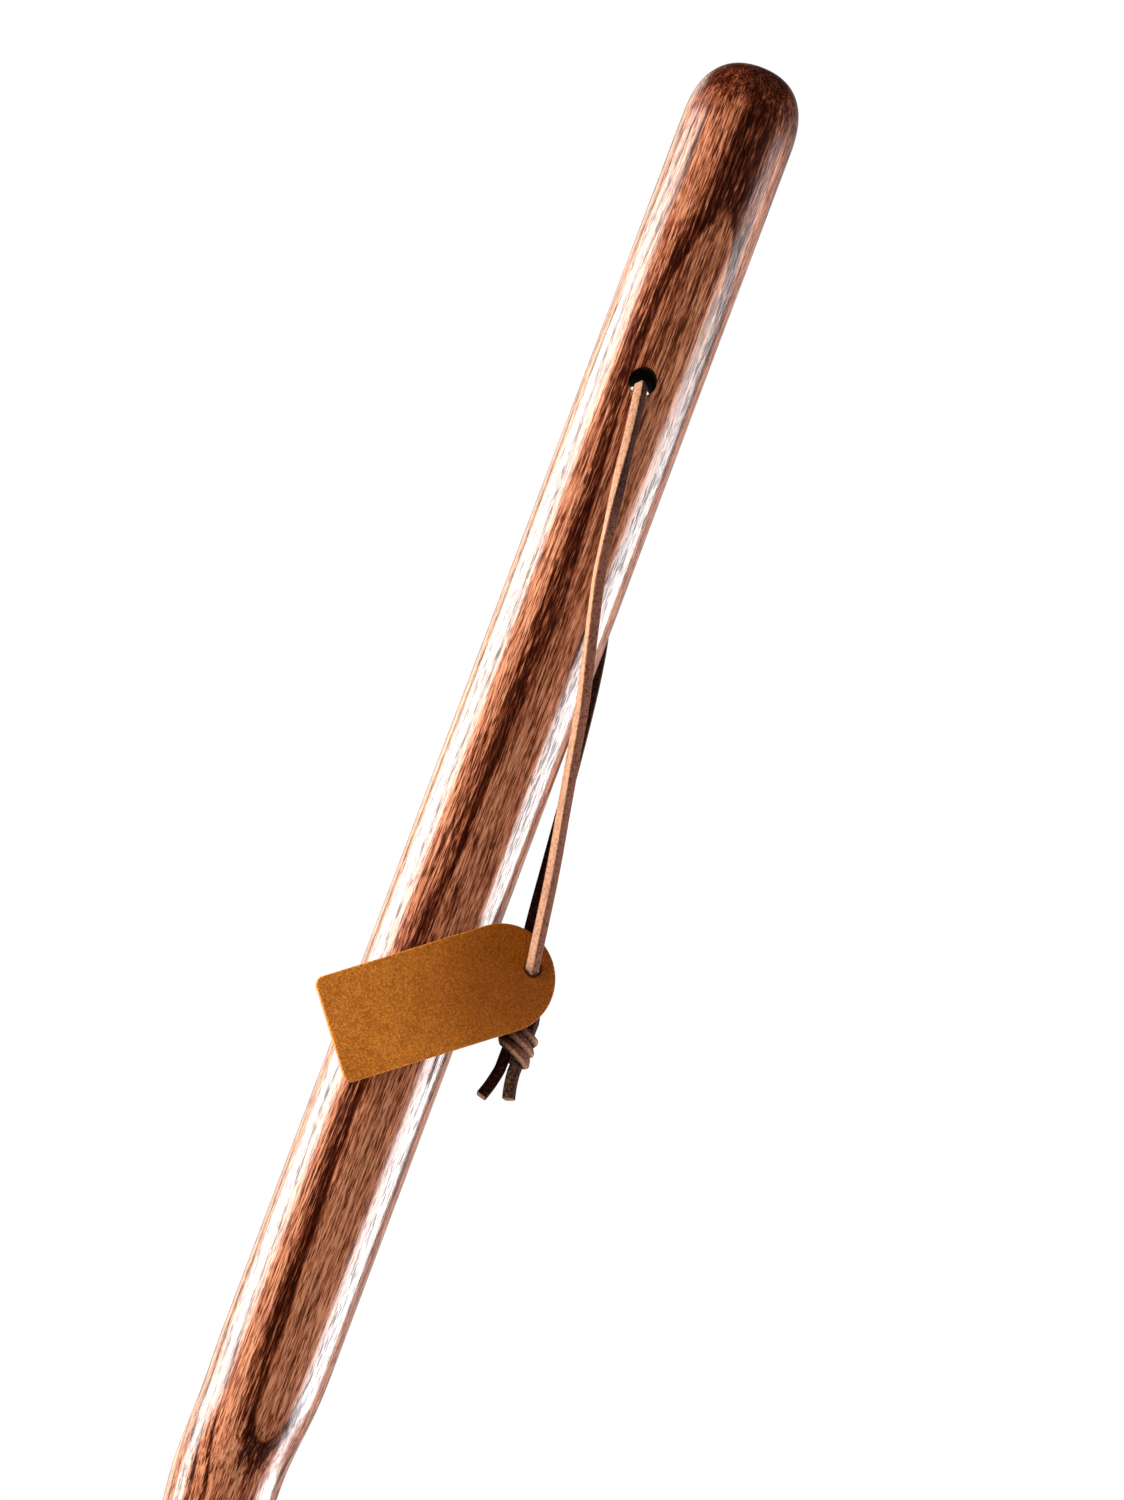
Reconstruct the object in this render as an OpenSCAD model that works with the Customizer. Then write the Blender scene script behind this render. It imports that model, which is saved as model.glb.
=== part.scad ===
// Hiking staff: a carved oak shaft with a twisted middle, a rubber tip on its foot, and a leather
// lace looped through the handle, tied off below a leather tag that is threaded on it.
// The origin is the centre of the sole, the shaft rises along +Z and the front faces -Y.

/* [Shaft] */
// Length of the whole staff, from the sole to the crown
staff_l = 1397; // [1250:1:1600]
// Diameter of the handle where it meets the twist
handle_d = 33.8; // [30:0.1:38]
// Diameter of the straight stretch above the lanyard bore
crown_d = 33.3; // [30:0.1:36]
// Height of the dome that ends the handle
dome_h = 21; // [14:0.5:30]
// Power of the dome's curve: 2 is an ellipse, more is squarer
dome_power = 2.5; // [2:0.1:4]
// Diameter of the lower shaft where it meets the twist
belly_d = 32.4; // [29:0.1:36]
// Diameter of the foot that the rubber tip takes
foot_d = 22.2; // [18:0.1:25]
// Power of the lower taper: 1 is a straight cone, more is fuller
taper_power = 2.5; // [1:0.1:4]

/* [Twist] */
// Height of the lower end of the carved twist
twist_bottom = 495; // [420:1:560]
// Height of the upper end of the carved twist
twist_top = 1000; // [900:1:1100]
// Mean diameter of the carved stretch
twist_d = 31; // [28:0.1:33]
// How far the carving throws the section off the axis
twist_throw = 1.25; // [0.4:0.05:2.5]
// How far the carving leans each crest towards one flank
twist_lean = 0.2; // [0:0.05:0.5]
// Rise of the twist in one turn
twist_pitch = 81; // [60:1:120]
// Height above the twist's lower end where a crest first faces right
twist_first = 28; // [0:1:80]
// Length over which the twist fades out at each end
twist_fade = 45; // [20:1:80]

/* [Lanyard bore] */
// Diameter of the bore for the lace
bore_d = 7.9; // [6.5:0.1:10]
// Depth of the bore's axis below the crown
bore_drop = 101; // [70:0.5:130]
// Height above the bore's axis where the straight stretch begins
bore_land = 8; // [5:0.5:15]

/* [Rubber tip] */
// Height of the rubber tip
tip_h = 30; // [26:0.5:40]
// Diameter of the tip at its rim
tip_rim_d = 27.3; // [26:0.1:31]
// Diameter of the tip at its widest
tip_base_d = 30.2; // [29:0.1:36]
// Diameter of the flat sole
tip_sole_d = 25.8; // [22:0.1:28]
// Height of the heel, where the tip rounds in to its sole
tip_heel_h = 4.2; // [3:0.1:6]
// Thickness of the rubber under the washer
tip_floor_t = 7; // [5:0.1:9]
// Rounding of the rim
tip_lip_r = 0.9; // [0.4:0.1:1.2]
// Width of each ring groove in the sole
groove_w = 1.6; // [1:0.1:2.2]
// Depth of each ring groove in the sole
groove_depth = 1.2; // [0.6:0.1:2]
// Radial clearance of the foot in the tip's socket
foot_gap = 0.05; // [0.02:0.01:0.1]

/* [Washer] */
// Thickness of the steel washer in the socket
washer_t = 1.2; // [0.8:0.1:2]
// Diameter of the hole in the washer
washer_hole_d = 8; // [5:0.1:12]
// Radial clearance of the washer in the socket
washer_gap = 0.2; // [0.1:0.05:0.5]

/* [Lace] */
// Width of the square-cut lace
lace_w = 3.2; // [2.6:0.1:3.6]
// How much of each side its worn corners take
lace_corner = 0.6; // [0.3:0.05:0.9]
// Clearance between the lace and the wall of the bore
lace_gap = 0.35; // [0.3:0.05:0.6]

/* [Knot] */
// Radius of the two strands that are wrapped in the knot
knot_core_r = 4; // [3.9:0.1:5]
// Length of the knot
knot_l = 12.5; // [12:0.1:15]
// Spacing of the two strands in the knot
knot_spread = 4; // [3.9:0.1:4.4]
// Rise of one turn of the wrapping
knot_pitch = 4; // [3.8:0.1:4.5]
// Turns of the wrapping
knot_turns = 1.6; // [1:0.1:1.6]
// Tilt of the wrapping, in degrees
knot_tilt = 12; // [0:1:12]

/* [Tag] */
// Length of the leather tag
tag_l = 68; // [50:0.5:80]
// Width of the leather tag
tag_w = 31.4; // [24:0.1:36]
// Thickness of the leather tag
tag_t = 2.2; // [1.6:0.1:2.6]
// Rounding of the two square corners
tag_corner_r = 2.5; // [1:0.1:5]
// Diameter of the hole in the tag
tag_hole_d = 6.2; // [5.6:0.1:7]
// Distance from the tag's round end to the hole's centre
tag_hole_inset = 6.2; // [5:0.1:9]
// Clearance between the tag's back and the handle
tag_gap = 0.4; // [0.3:0.05:1]
// Turn of the tag about the upright, in degrees
tag_turn = 10; // [0:1:15]
// Dip of the tag below the level, in degrees
tag_dip = 38.5; // [0:0.5:60]

/* [Hidden] */
$fn = 96;

// Facets round the carved twist, rings in one turn of it, and points along the curved outlines
twist_facets = 36;
rings_a_turn = 15;
dome_steps = 16;
taper_steps = 24;
tip_steps = 10;
knot_steps = 14;

// How far a cut runs past the face it leaves, and how far a joined stretch runs into its neighbour
overrun = 1;
lap = 4;
// How far the carved facets stay inside the turned ends that they run into
seam = 0.05;
// Bevel on the foot's end and on the socket's mouth
foot_bevel = 0.8;
// Places of the sole's grooves, as shares of its radius
groove_shares = [0.36, 0.7];
// Power of the tip's flare from its rim to its base
flare_power = 1.6;
// How far in the wrapping's ends are tucked, and over how much of its length, as shares
tuck_share = 0.5;
tuck_run_share = 0.08;

handle_r = handle_d / 2;
crown_r = crown_d / 2;
belly_r = belly_d / 2;
foot_r = foot_d / 2;
twist_r = twist_d / 2;
bore_z = staff_l - bore_drop;
socket_r = foot_r + foot_gap;
foot_z = tip_floor_t + washer_t;

// The lace's section: a square with its corners worn off, and the radius that holds it
lace_half = lace_w / 2;
lace_flat = lace_half - lace_corner;
lace_r = norm([lace_half, lace_flat]);
lace_section = [[lace_half, lace_flat], [lace_flat, lace_half],
                [-lace_flat, lace_half], [-lace_half, lace_flat],
                [-lace_half, -lace_flat], [-lace_flat, -lace_half],
                [lace_flat, -lace_half], [lace_half, -lace_flat]];
// The lace turns a corner, not a face, to the front
lace_lean = [1, 0, 1];
// The lace lies on the floor of the bore, and runs straight from the middle of it
lace_sag = bore_d / 2 - lace_r - lace_gap;
lace_run = crown_r / 2;

// Routes of the two strands from the bore to the knot: how far right of the axis, how far out from
// the lace's seat on the handle, and how far below the bore's axis
front_route = [
    [0, -2.8, 1.7], [0, -1.2, 1.9], [0.2, 0.4, 3], [0.5, 0.8, 5.2], [1, 0.3, 8.5],
    [2, 0.1, 16], [3.2, 0.1, 26], [4.7, 0, 36], [6.2, 0, 46], [7.8, -0.1, 57], [10, -0.2, 67],
    [12.4, -0.3, 77], [14.8, -0.4, 87], [17, -0.6, 97], [18.8, -0.8, 107], [20.7, -1, 117],
    [22.5, -1.2, 127], [24.4, -1.3, 137], [26.1, -1.5, 147], [27.6, -1.6, 157],
    [28.7, -1.7, 164.5], [29.2, -1.8, 167.4], [29.4, -2.5, 169.2], [29.6, -4.2, 170],
    [29.6, -6.3, 170], [29.7, -8, 170.8], [30, -8.7, 172.5], [31.5, -9.8, 176.5], [34, -11.6, 180.5]];
back_route = [
    [0, -2.8, 1.7], [0, -1.2, 1.9], [0.2, 0.4, 3], [0.6, 0.8, 5.2], [1.4, 0.3, 9],
    [3.2, 0.1, 20], [5.6, -0.3, 31], [8.2, -1.2, 42], [10.8, -2.6, 52], [13.3, -4.5, 61.5],
    [15.6, -6.8, 71], [17.3, -8.9, 81], [18.6, -10.8, 91], [19.7, -12.5, 101], [20.7, -14, 111],
    [21.6, -15.4, 121], [22.5, -16.7, 131], [23.4, -18, 141], [24.3, -19.2, 151],
    [25.4, -20.5, 161], [27.2, -22, 171], [29.3, -23.4, 178]];
// The knot's axis and top, below the bore's axis, and the straight run of each strand into it
knot_at = [33.1, -5.6, -185.5];
knot_run = 2.5;
// Routes of the two tails from the knot's underside, right, back and down
tail_front_route = [[0, 0, 0], [0, 0, -1], [0.2, -0.1, -3], [0.7, -0.3, -6], [1.3, -0.6, -8.5]];
tail_back_route = [[0, 0, 0], [0, 0, -1], [-0.3, -0.2, -3], [-1.2, -0.6, -7], [-2.3, -1.2, -10.5]];
// Where the front strand passes through the tag, right of the axis and below the bore's axis
tag_x = 29.6;
tag_drop = 170;
tag_y = (tag_x * sin(tag_turn) - handle_r - tag_gap - tag_t / 2) / cos(tag_turn);

function unit(v) = v / norm(v);
function smooth(t) = let (c = max(0, min(1, t))) c * c * (3 - 2 * c);

// Direction of a route at its point i, and a side vector carried along it without spinning
function along(route, i) = unit(route[min(i + 1, len(route) - 1)] - route[max(i - 1, 0)]);
function carried(route, side, i = 0) =
    let (t = along(route, i), m = unit(side - (side * t) * t))
    i == len(route) - 1 ? [m] : concat([m], carried(route, m, i + 1));

// The lace's rings along a route, with a side vector at each point
function lace_rings(route, sides) =
    [for (i = [0 : len(route) - 1])
        let (m = sides[i], b = cross(along(route, i), m))
        [for (s = lace_section) route[i] + s[0] * m + s[1] * b]];

// A strand from the middle of the bore to the knot; way is -1 at the front and 1 at the back
function strand(route, way, end_x) =
    concat([for (y = [0, lace_run]) [0, way * y, bore_z - lace_sag]],
           [for (p = route) [p[0], way * (handle_r + lace_r + p[1]), bore_z - p[2]]],
           [for (up = [knot_run, 0]) [end_x, knot_at[1], bore_z + knot_at[2] + up]]);

// Radius of the carved stretch at a height and an angle: a crest that climbs as a helix
function carved_r(z, angle) =
    let (low = smooth((z - twist_bottom) / twist_fade),
         high = smooth((twist_top - z) / twist_fade),
         turn = angle - 360 * (z - twist_bottom - twist_first) / twist_pitch)
    twist_r + (belly_r - seam - twist_r) * (1 - low) + (handle_r - seam - twist_r) * (1 - high)
    + low * high * (twist_throw * cos(turn) + twist_lean * sin(2 * turn));
function carved_ring(z) =
    [for (i = [0 : twist_facets - 1])
        let (angle = 360 * i / twist_facets, r = carved_r(z, angle))
        [r * cos(angle), r * sin(angle), z]];

// Radius of the lower shaft, from the tip's rim at 0 to the twist at 1
function taper_r(t) = foot_r + (belly_r - foot_r) * (1 - pow(1 - t, taper_power));

// A closed skin over rings of points that turn the same way round
module skin(rings) {
    n = len(rings[0]);
    last = len(rings) - 1;
    walls = [for (i = [0 : last - 1], j = [0 : n - 1])
        let (a = i * n + j, b = i * n + (j + 1) % n)
        each [[a, b + n, b], [a, a + n, b + n]]];
    ends = [[for (j = [0 : n - 1]) j], [for (j = [n - 1 : -1 : 0]) last * n + j]];
    polyhedron([for (ring = rings) each ring], concat(walls, ends));
}

module lace(route) {
    skin(lace_rings(route, carried(route, lace_lean)));
}

// The turned lower shaft, with the straight foot that goes into the tip
module lower_shaft() {
    curve = [for (i = [0 : taper_steps]) let (t = pow(i / taper_steps, 2))
        [taper_r(t), tip_h + (twist_bottom - tip_h) * t]];
    rotate_extrude()
        polygon(concat([[0, foot_z], [foot_r - foot_bevel, foot_z], [foot_r, foot_z + foot_bevel]],
                       curve, [[0, twist_bottom]]));
}

// The carved stretch, lapped into the turned shaft below and above it
module twist() {
    steps = ceil((twist_top - twist_bottom) * rings_a_turn / twist_pitch);
    heights = [for (i = [0 : steps]) twist_bottom + (twist_top - twist_bottom) * i / steps];
    skin([for (z = concat([twist_bottom - lap], heights, [twist_top + lap])) carved_ring(z)]);
}

// The turned handle: a slight cone, a straight stretch above the bore and the dome
module handle() {
    dome_z = staff_l - dome_h;
    bend = 2 / dome_power;
    dome = [for (i = [0 : dome_steps]) let (a = 90 * i / dome_steps)
        [crown_r * pow(cos(a), bend), dome_z + dome_h * pow(sin(a), bend)]];
    difference() {
        rotate_extrude()
            polygon(concat([[0, twist_top], [handle_r, twist_top], [crown_r, bore_z + bore_land]],
                           dome));
        translate([0, handle_r + overrun, bore_z])
            rotate([90, 0, 0])
                cylinder(d = bore_d, h = 2 * (handle_r + overrun));
    }
}

module shaft() {
    color("sienna") {
        lower_shaft();
        twist();
        handle();
    }
}

module rubber_tip() {
    rim_r = tip_rim_d / 2;
    base_r = tip_base_d / 2;
    sole_r = tip_sole_d / 2;
    wall_h = tip_h - tip_lip_r - tip_heel_h;
    heel = [for (i = [0 : tip_steps]) let (a = 90 * i / tip_steps)
        [sole_r + (base_r - sole_r) * sin(a), tip_heel_h * (1 - cos(a))]];
    flare = [for (i = [1 : tip_steps]) let (t = i / tip_steps)
        [rim_r + (base_r - rim_r) * pow(1 - t, flare_power), tip_heel_h + wall_h * t]];
    lip = [for (i = [1 : tip_steps]) let (a = 90 * i / tip_steps)
        [rim_r - tip_lip_r * (1 - cos(a)), tip_h - tip_lip_r * (1 - sin(a))]];
    color("rosybrown")
        difference() {
            rotate_extrude()
                polygon(concat([[0, 0]], heel, flare, lip,
                               [[socket_r + foot_bevel, tip_h], [socket_r, tip_h - foot_bevel],
                                [socket_r, tip_floor_t], [0, tip_floor_t]]));
            for (share = groove_shares)
                rotate_extrude()
                    translate([share * sole_r - groove_w / 2, -overrun])
                        square([groove_w, groove_depth + overrun]);
        }
}

module tip_washer() {
    color("silver")
        translate([0, 0, tip_floor_t])
            difference() {
                cylinder(r = socket_r - washer_gap, h = washer_t);
                translate([0, 0, -overrun])
                    cylinder(d = washer_hole_d, h = washer_t + 2 * overrun);
            }
}

module lace_front() {
    color("burlywood")
        lace(strand(front_route, -1, knot_at[0] + knot_spread / 2));
}

module lace_back() {
    color("tan")
        lace(strand(back_route, 1, knot_at[0] - knot_spread / 2));
}

// The knot: the two strands side by side, wrapped by a turn and a half of the lace
module lace_knot() {
    rise = knot_pitch * knot_turns;
    steps = ceil(knot_turns * knot_steps);
    turns = [for (i = [0 : steps]) i / steps];
    wrap = [for (t = turns)
        let (out = min(1, min(t, 1 - t) / tuck_run_share),
             r = knot_core_r * (tuck_share + (1 - tuck_share) * out),
             a = 360 * knot_turns * t)
        [r * cos(a), r * sin(a), rise * (t - 1 / 2)]];
    outward = [for (t = turns) let (a = 360 * knot_turns * t) [cos(a), sin(a), 0]];
    color("peru")
        translate(knot_at + [0, 0, bore_z - knot_l]) {
            cylinder(r = knot_core_r, h = knot_l);
            translate([0, 0, knot_l / 2])
                rotate([0, knot_tilt, 0])
                    skin(lace_rings(wrap, outward));
        }
}

module tail(route, side_x) {
    foot = knot_at + [side_x, 0, bore_z - knot_l];
    color("burlywood")
        lace([for (p = route) foot + p]);
}

module lace_tail_front() {
    tail(tail_front_route, knot_spread / 2);
}

module lace_tail_back() {
    tail(tail_back_route, -knot_spread / 2);
}

// The tag's outline, with its hole's centre at the origin and its square end along +X
module tag_outline() {
    round_x = tag_w / 2 - tag_hole_inset;
    end_x = tag_l - tag_hole_inset;
    difference() {
        union() {
            translate([round_x, 0])
                circle(d = tag_w);
            translate([round_x, -tag_w / 2])
                square([end_x - tag_corner_r - round_x, tag_w]);
            translate([round_x, tag_corner_r - tag_w / 2])
                square([end_x - round_x, tag_w - 2 * tag_corner_r]);
            for (y = [-1, 1])
                translate([end_x - tag_corner_r, y * (tag_w / 2 - tag_corner_r)])
                    circle(r = tag_corner_r);
        }
        circle(d = tag_hole_d);
    }
}

module leather_tag() {
    color("darkgoldenrod")
        translate([tag_x, tag_y, bore_z - tag_drop])
            rotate([90, 0, tag_turn])
                rotate([0, 0, 180 + tag_dip])
                    linear_extrude(tag_t, center = true)
                        tag_outline();
}

shaft();
rubber_tip();
tip_washer();
lace_front();
lace_back();
lace_knot();
lace_tail_front();
lace_tail_back();
leather_tag();
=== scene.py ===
"""Looks of a hiking staff: carved oak shaft, rubber tip, leather lace and tag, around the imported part."""

from __future__ import annotations

import logging
import math
from dataclasses import dataclass
from enum import Enum
from typing import Any, Iterable, Sequence

import bmesh
import bpy
from mathutils import Matrix, Vector

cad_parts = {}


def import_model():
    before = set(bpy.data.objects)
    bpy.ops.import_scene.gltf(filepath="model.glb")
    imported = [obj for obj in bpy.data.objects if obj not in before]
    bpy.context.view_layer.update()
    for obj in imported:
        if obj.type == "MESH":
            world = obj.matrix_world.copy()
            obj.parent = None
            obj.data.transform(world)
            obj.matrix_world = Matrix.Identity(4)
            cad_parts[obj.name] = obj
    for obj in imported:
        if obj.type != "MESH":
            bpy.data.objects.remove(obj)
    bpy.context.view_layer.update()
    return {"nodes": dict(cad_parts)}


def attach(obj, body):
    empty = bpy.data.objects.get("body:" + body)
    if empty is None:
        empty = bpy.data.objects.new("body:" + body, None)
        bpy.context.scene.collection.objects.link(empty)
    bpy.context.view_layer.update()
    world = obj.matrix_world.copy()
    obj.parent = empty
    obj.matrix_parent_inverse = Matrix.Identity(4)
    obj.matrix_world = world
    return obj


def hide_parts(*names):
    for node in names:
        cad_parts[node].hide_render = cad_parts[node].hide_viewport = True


LOG = logging.getLogger("hiking_staff")
MM = 0.001
FULL_TURN = 2.0 * math.pi
QUARTER = 90.0
UP = (0.0, 0.0, 1.0)
LEVEL = (1.0, 1.0, 0.0)
BEVEL_PROFILE = 0.5
KEEP_MATERIAL = -1
SAME_DOT = 0.002
SHARP = 40.0
NOISE_MEAN = 0.5
CURVE_CUTS = 12
CENTRIPETAL = 0.5
WHITE = 1.0
RAYS = ("Is Camera Ray", "Is Glossy Ray", "Is Transmission Ray")

Colour = tuple[float, float, float]
Point = tuple[float, float, float]
Span = tuple[float, float]
Table = Sequence[Span]


class Body(Enum):
    """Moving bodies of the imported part."""

    STAFF = "staff"
    TIP = "tip"
    LANYARD = "lanyard"
    TAG = "tag"


class Slot(Enum):
    """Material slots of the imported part."""

    OAK = "oak"
    RUBBER = "rubber"
    LACE = "lace"
    TAG = "tag"


class Side(Enum):
    """The two strands of the lace, by the side of the shaft they run down; the value is their way along Y."""

    FRONT = -1
    BACK = 1


class Reach(Enum):
    """What a lamp lights: only gloss, as a reflected strip, or only the colour of things."""

    GLOSS = "gloss"
    COLOUR = "colour"


class Wire:
    """An output socket, with operators that add Math nodes behind it."""

    def __init__(self, board: Board, socket: bpy.types.NodeSocket) -> None:
        """Keeps the board that the socket's node is on."""
        self.board = board
        self.socket = socket

    def __add__(self, other: Wire | float) -> Wire:
        """Sum."""
        return self.board.maths("ADD", self, other)

    def __sub__(self, other: Wire | float) -> Wire:
        """Difference."""
        return self.board.maths("SUBTRACT", self, other)

    def __rsub__(self, other: float) -> Wire:
        """Difference, from a number."""
        return self.board.maths("SUBTRACT", other, self)

    def __mul__(self, other: Wire | float) -> Wire:
        """Product."""
        return self.board.maths("MULTIPLY", self, other)

    def __truediv__(self, other: Wire | float) -> Wire:
        """Quotient."""
        return self.board.maths("DIVIDE", self, other)

    def larger(self, other: Wire | float) -> Wire:
        """The larger of two values."""
        return self.board.maths("MAXIMUM", self, other)

    def smaller(self, other: Wire | float) -> Wire:
        """The smaller of two values."""
        return self.board.maths("MINIMUM", self, other)

    def filled(self, edge: float) -> Wire:
        """0 up to 0, 1 from an edge on, and straight between."""
        return (self / edge).larger(0.0).smaller(1.0)

    def spread(self, low: float, high: float) -> Wire:
        """The value spread out, from low at 0 to high at 1."""
        return self * (high - low) + low

    def step(self, low: float, high: float) -> Wire:
        """A smooth step from 0, at low, to 1, at high, which may be below low."""
        return self.board.node(
            "ShaderNodeMapRange",
            {"interpolation_type": "SMOOTHSTEP"},
            {"Value": self, "From Min": low, "From Max": high, "To Min": 0.0, "To Max": 1.0},
        )


class Board:
    """A node tree that expressions are written on."""

    def __init__(self, tree: bpy.types.NodeTree) -> None:
        """Clears the tree."""
        self.tree = tree
        tree.nodes.clear()

    def node(
        self,
        kind: str,
        settings: dict[str, Any] | None = None,
        sockets: dict[str | int, Any] | None = None,
        out: str | int = 0,
    ) -> Wire:
        """Adds a node.

        Args:
            kind: The node's type.
            settings: Its settings, set first.
            sockets: Values or wires for its inputs.
            out: The output that is returned.

        Returns:
            The output as a wire; a node with no output gives its first input.
        """
        made = self.tree.nodes.new(kind)
        for key, value in (settings or {}).items():
            setattr(made, key, value)
        for key, value in (sockets or {}).items():
            if isinstance(value, Wire):
                self.tree.links.new(value.socket, made.inputs[key])
            else:
                made.inputs[key].default_value = value
        return Wire(self, made.outputs[out] if len(made.outputs) else made.inputs[0])

    def outputs(self, kind: str, names: Iterable[str], **sockets: Wire) -> list[Wire]:
        """Adds a node and gives several of its outputs, by name."""
        made = self.node(kind, sockets=sockets).socket.node
        return [Wire(self, made.outputs[name]) for name in names]

    def ramp(self, factor: Wire, stops: Iterable[tuple[float, float | Colour]]) -> Wire:
        """A colour ramp.

        Args:
            factor: Where the ramp is read.
            stops: Places from 0 to 1 with their colours, greys as one number.

        Returns:
            The colour.
        """
        colour = self.node("ShaderNodeValToRGB", sockets={0: factor})
        elements = colour.socket.node.color_ramp.elements
        while len(elements) > 1:
            elements.remove(elements[-1])
        for i, (place, value) in enumerate(stops):
            element = elements[0] if i == 0 else elements.new(place)
            element.position = place
            element.color = solid(value)
        return colour

    def maths(self, operation: str, *values: Wire | float) -> Wire:
        """A Math node on one or two values."""
        return self.node("ShaderNodeMath", {"operation": operation}, dict(enumerate(values)))

    def vector(self, operation: str, *values: Any, out: str = "Vector") -> Wire:
        """A Vector Math node on one or two vectors."""
        return self.node("ShaderNodeVectorMath", {"operation": operation}, dict(enumerate(values)), out)

    def mix(self, factor: Wire, a: Any, b: Any) -> Wire:
        """Mixes two colours, or wires of them, by the share of the second."""
        ends = [c if isinstance(c, Wire) else solid(c) for c in (a, b)]
        return self.node("ShaderNodeMix", {"data_type": "RGBA"}, {0: factor, 6: ends[0], 7: ends[1]}, 2)

    def millimetres(self) -> Wire:
        """The point's own place, in millimetres of the part's frame."""
        place = self.node("ShaderNodeTexCoord", out="Object")
        return self.node("ShaderNodeVectorMath", {"operation": "SCALE"}, {0: place, "Scale": 1.0 / MM})

    def split(self, vector: Wire) -> list[Wire]:
        """The three parts of a vector."""
        return self.outputs("ShaderNodeSeparateXYZ", "XYZ", Vector=vector)

    def scaled(self, vector: Wire, by: Wire | Point) -> Wire:
        """A vector times another, part by part."""
        return self.vector("MULTIPLY", vector, by)

    def noise(self, vector: Wire, grain: Grain) -> Wire:
        """Noise from 0 to 1.

        Args:
            vector: Where it is read.
            grain: What it is like.

        Returns:
            The noise's value.
        """
        scale = grain.scale
        if isinstance(scale, tuple):
            vector, scale = self.scaled(vector, scale), 1.0
        return self.node(
            "ShaderNodeTexNoise",
            sockets={"Vector": vector, "Scale": scale, "Detail": grain.detail, "Roughness": grain.roughness},
        )

    def cells(self, vector: Wire, scale: float = 1.0) -> Wire:
        """Distance from the nearest of scattered points."""
        return self.node("ShaderNodeTexVoronoi", sockets={"Vector": vector, "Scale": scale})

    def attribute(self, name: str) -> Wire:
        """A number stored on the piece's points."""
        return self.node("ShaderNodeAttribute", {"attribute_name": name}, out="Fac")

    def bump(self, height: Wire, depth: float) -> Wire:
        """A normal bumped by a height, of which 1 stands for a depth in millimetres."""
        return self.node(
            "ShaderNodeBump", sockets={"Height": height, "Distance": depth * MM, "Strength": 1.0}
        )

    def surface(self, **sockets: Any) -> None:
        """A Principled surface, with each socket's spaces written as underscores."""
        named = {k.replace("_", " "): solid(v) if isinstance(v, tuple) else v for k, v in sockets.items()}
        self.output(self.node("ShaderNodeBsdfPrincipled", sockets=named))

    def output(self, shader: Wire, kind: str = "ShaderNodeOutputMaterial") -> None:
        """Ends the tree with this shader."""
        self.node(kind, sockets={"Surface": shader})


def solid(colour: float | Colour) -> tuple[float, float, float, float]:
    """A colour or a grey with its alpha of 1."""
    parts = (colour,) * 3 if isinstance(colour, (int, float)) else colour
    return (*parts, 1.0)


@dataclass(frozen=True)
class Grain:
    """A noise: its cells a unit, alike or by axis, its octaves and the weight of the finer ones."""

    scale: float | Point = 1.0
    detail: float = 2.0
    roughness: float = 0.5


@dataclass(frozen=True)
class Stain:
    """A colour that covers another as a value goes through a step from low to high."""

    colour: Colour
    low: float
    high: float
    cover: float = 1.0

    def over(self, ground: Any, value: Wire, share: Wire | float = 1.0) -> Wire:
        """The ground with the stain on it, of which only a share is laid on."""
        cover = value.step(self.low, self.high) * self.cover * share
        return value.board.mix(cover, ground, self.colour)


@dataclass(frozen=True)
class Finish:
    """A material that is painted with nodes."""

    name: str

    def make(self) -> bpy.types.Material:
        """Builds the material.

        Returns:
            The material.
        """
        material = bpy.data.materials.new(self.name)
        material.use_nodes = True
        self.paint(Board(material.node_tree))
        return material

    def paint(self, board: Board) -> None:
        """Lays the finish's own nodes on an empty board."""
        raise NotImplementedError


@dataclass(frozen=True)
class MattFinish(Finish):
    """A finish with no varnish: its span of roughness, its sheen and its bumps' depth in millimetres."""

    roughness: Span
    sheen: float
    depth: float

    def lay(self, board: Board, colour: Any, rough: Wire, height: Wire) -> None:
        """Ends the board with a surface of this colour, rough by one value and bumped by another."""
        board.surface(
            Base_Color=colour,
            Roughness=rough.spread(*self.roughness),
            Specular_IOR_Level=self.sheen,
            Normal=board.bump(height, self.depth),
        )


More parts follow.
